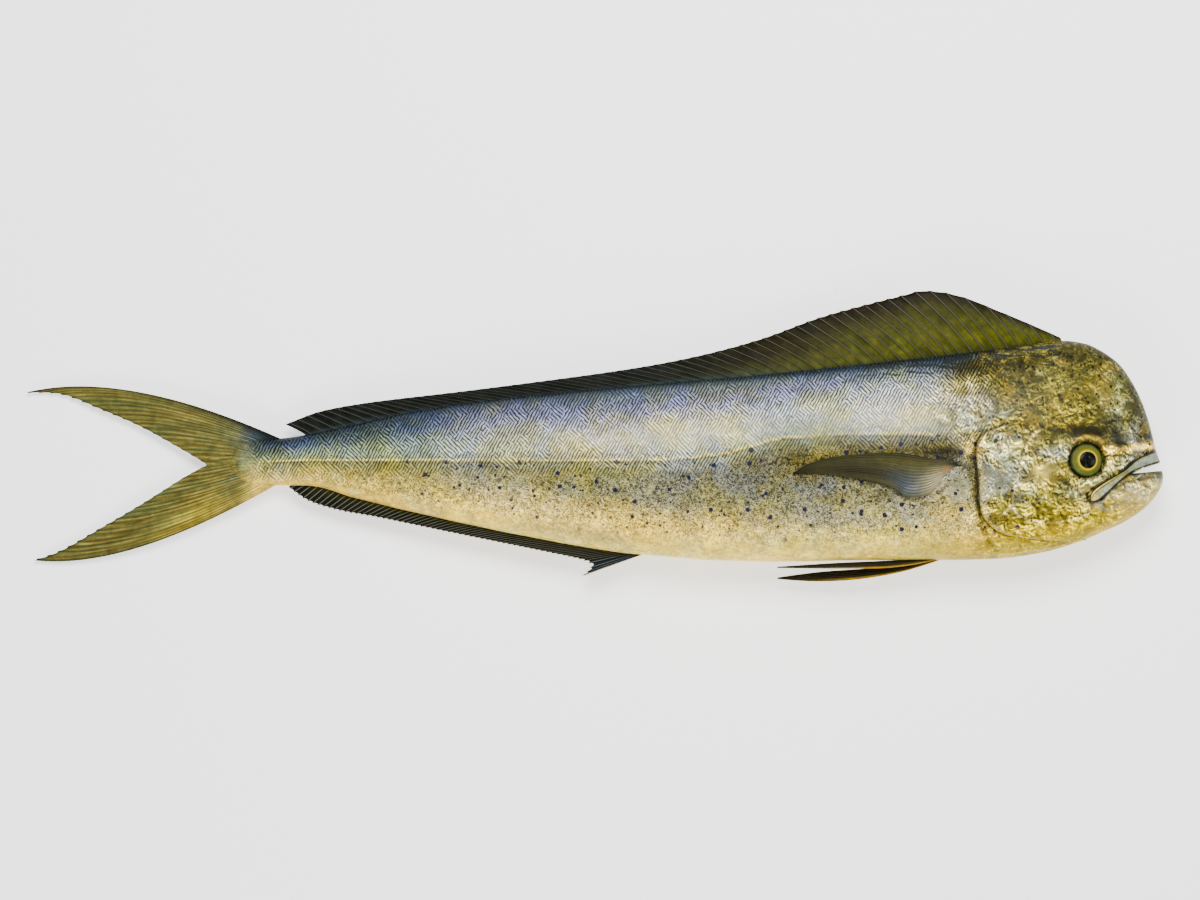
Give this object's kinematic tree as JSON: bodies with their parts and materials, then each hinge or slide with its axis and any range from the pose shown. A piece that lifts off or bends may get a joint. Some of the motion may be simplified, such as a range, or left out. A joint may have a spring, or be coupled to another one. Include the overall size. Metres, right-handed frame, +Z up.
{
  "type": "fish",
  "caption": "Whole raw mahi-mahi lying on its left flank, with a long olive dorsal fin, a dark anal fin, a forked tail, a bright eye and a silvery flank that turns gold below.",
  "frame": {"origin": "middle of the fish's length and depth, on the surface that it lies on", "axes": "+X along the fish to the snout, +Y to its back, +Z up from its lower (left) flank to its upper (right) flank"},
  "size_m": [0.901, 0.2294, 0.0819],
  "materials": {
    "skin": "wet, satin to glossy, slightly metallic",
    "olive_fin": "wet, satin membrane over rays",
    "dark_fin": "wet, satin membrane over rays",
    "tail_fin": "wet, satin membrane over rays",
    "eye": "wet, glossy and clear in front"
  },
  "bodies": {
    "root": {"body": "skin", "gill_cover_right": "skin", "gill_cover_left": "skin", "upper_jaw_right": "skin", "upper_jaw_left": "skin", "eye_right": "eye", "eye_left": "eye", "dorsal_fin": "olive_fin", "pectoral_fin_right": "olive_fin", "pectoral_fin_left": "olive_fin", "anal_fin": "dark_fin", "pelvic_fin_right": "dark_fin", "pelvic_fin_left": "dark_fin", "tail_fin": "tail_fin"}
  },
  "joints": []
}
